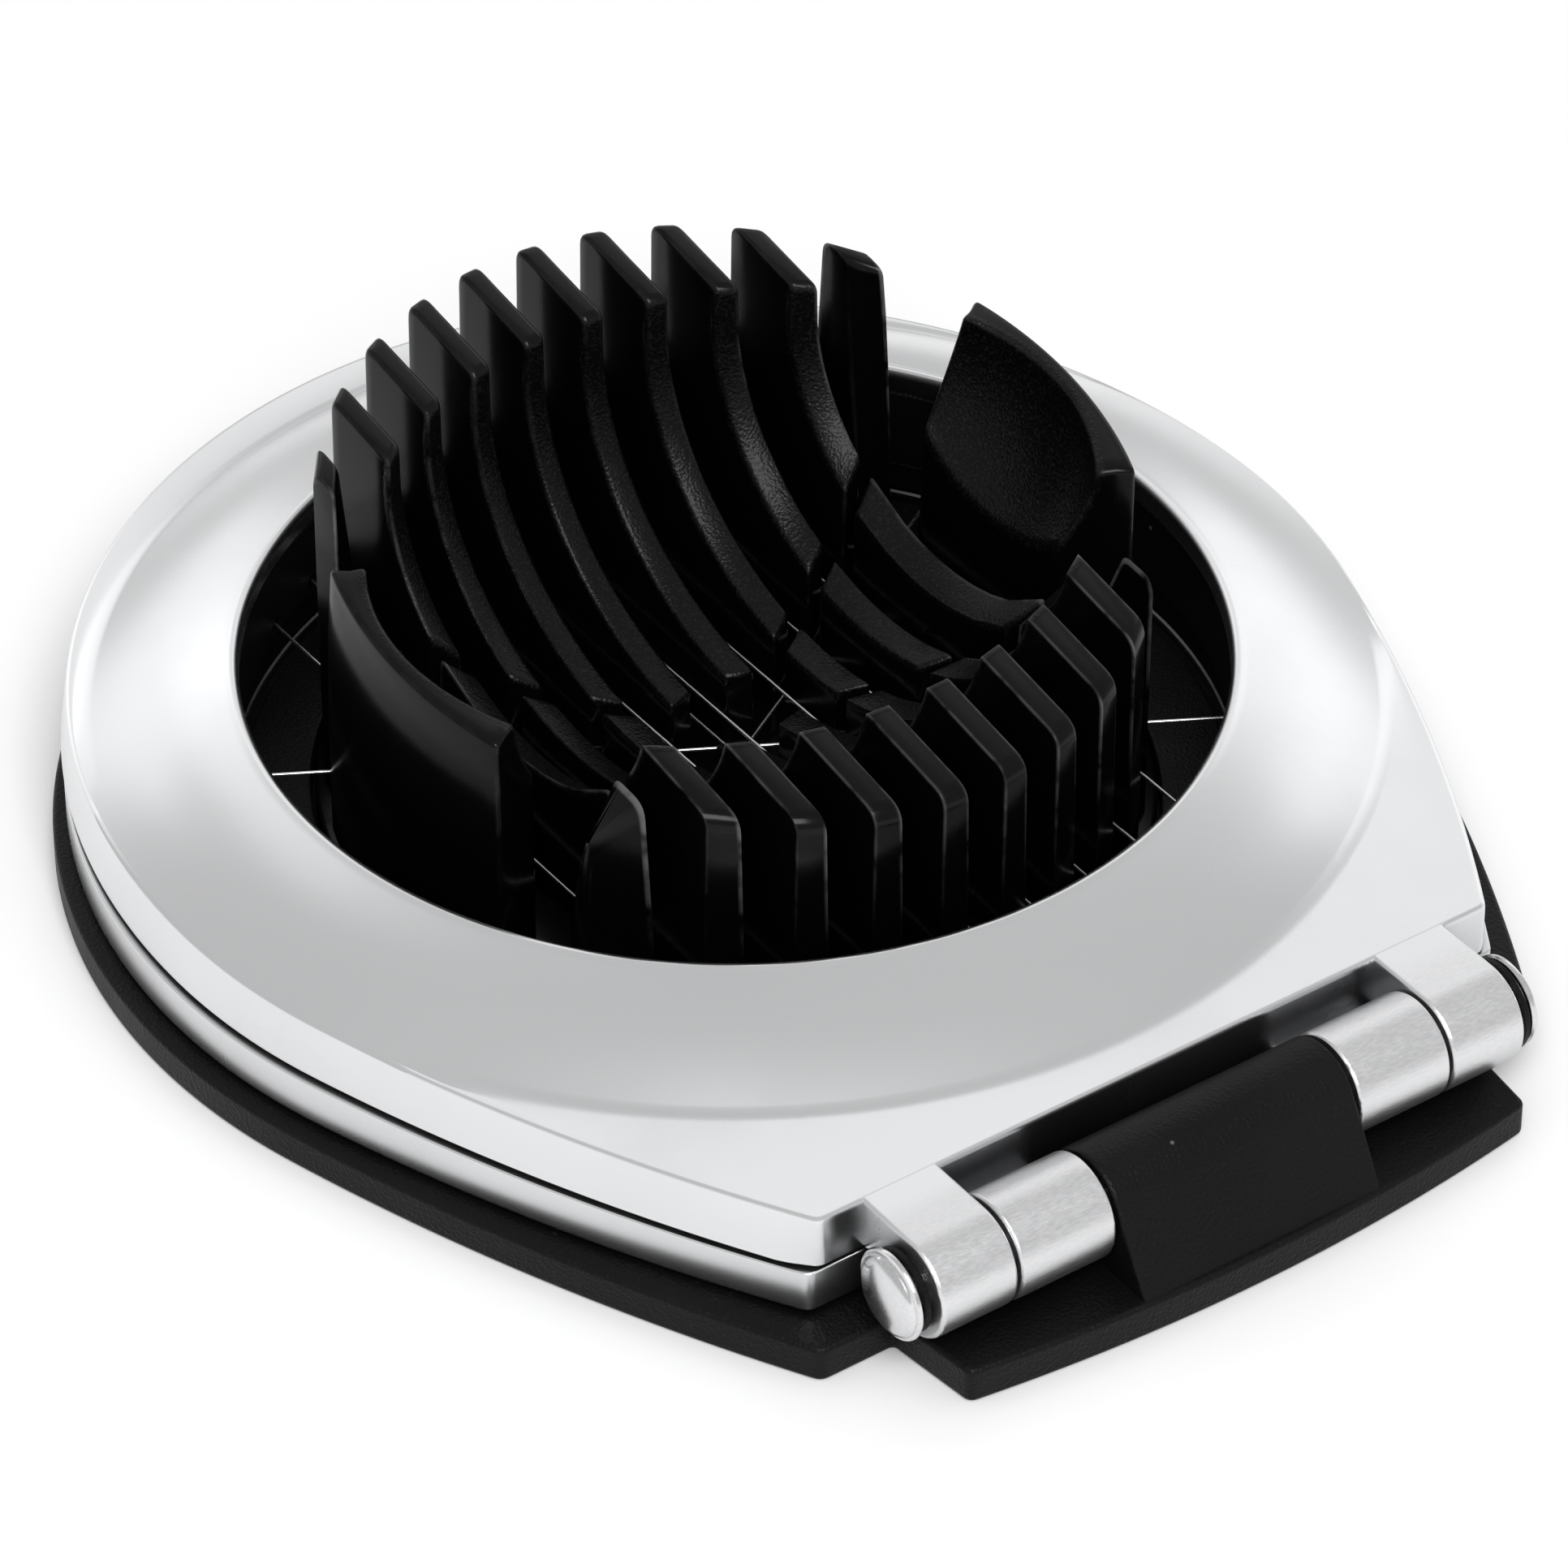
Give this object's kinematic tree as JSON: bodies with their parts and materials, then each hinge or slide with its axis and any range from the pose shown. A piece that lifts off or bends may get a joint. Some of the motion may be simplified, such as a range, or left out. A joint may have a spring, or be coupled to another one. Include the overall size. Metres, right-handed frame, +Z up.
{
  "type": "egg slicer",
  "caption": "Hinged egg slicer: finned egg cradle on a flat base, with one frame of parallel wires and one of crossed wires that swing down over it.",
  "frame": {"origin": "underside of the base plate, below the middle of the egg cradle", "axes": "+Z up, +X along the hinge pin, +Y from the hinge to the lifting end of the frames"},
  "size_m": [0.1048, 0.1206, 0.0345],
  "materials": {
    "polished_metal": "polished",
    "pin_metal": "satin",
    "wire_steel": "drawn, bright",
    "gloss_black": "gloss with a fine moulded grain",
    "satin_black": "satin"
  },
  "bodies": {
    "base": {"base_plate": "satin_black", "egg_cradle": "gloss_black", "hinge_pin": "pin_metal", "pin_cap": "pin_metal", "hinge_washer_left": "satin_black", "hinge_washer_right": "satin_black"},
    "wedge_frame": {"lower_frame": "polished_metal", "lower_wire_ring": "satin_black", "wedge_wire_1": "wire_steel", "wedge_wire_2": "wire_steel", "wedge_wire_3": "wire_steel"},
    "slice_frame": {"upper_frame": "polished_metal", "upper_wire_ring": "satin_black", "slicing_wire_1": "wire_steel", "slicing_wire_2": "wire_steel", "slicing_wire_3": "wire_steel", "slicing_wire_4": "wire_steel", "slicing_wire_5": "wire_steel", "slicing_wire_6": "wire_steel", "slicing_wire_7": "wire_steel", "slicing_wire_8": "wire_steel", "slicing_wire_9": "wire_steel"}
  },
  "joints": [
    {"name": "wedge_frame_hinge", "type": "hinge", "parent": "base", "child": "wedge_frame", "pos_m": [0, -0.0586, 0.0075], "axis": [1, 0, 0], "range_deg": [0, 75]},
    {"name": "slice_frame_hinge", "type": "hinge", "parent": "wedge_frame", "child": "slice_frame", "pos_m": [0, -0.0586, 0.0075], "axis": [1, 0, 0], "range_deg": [0, 85]}
  ]
}
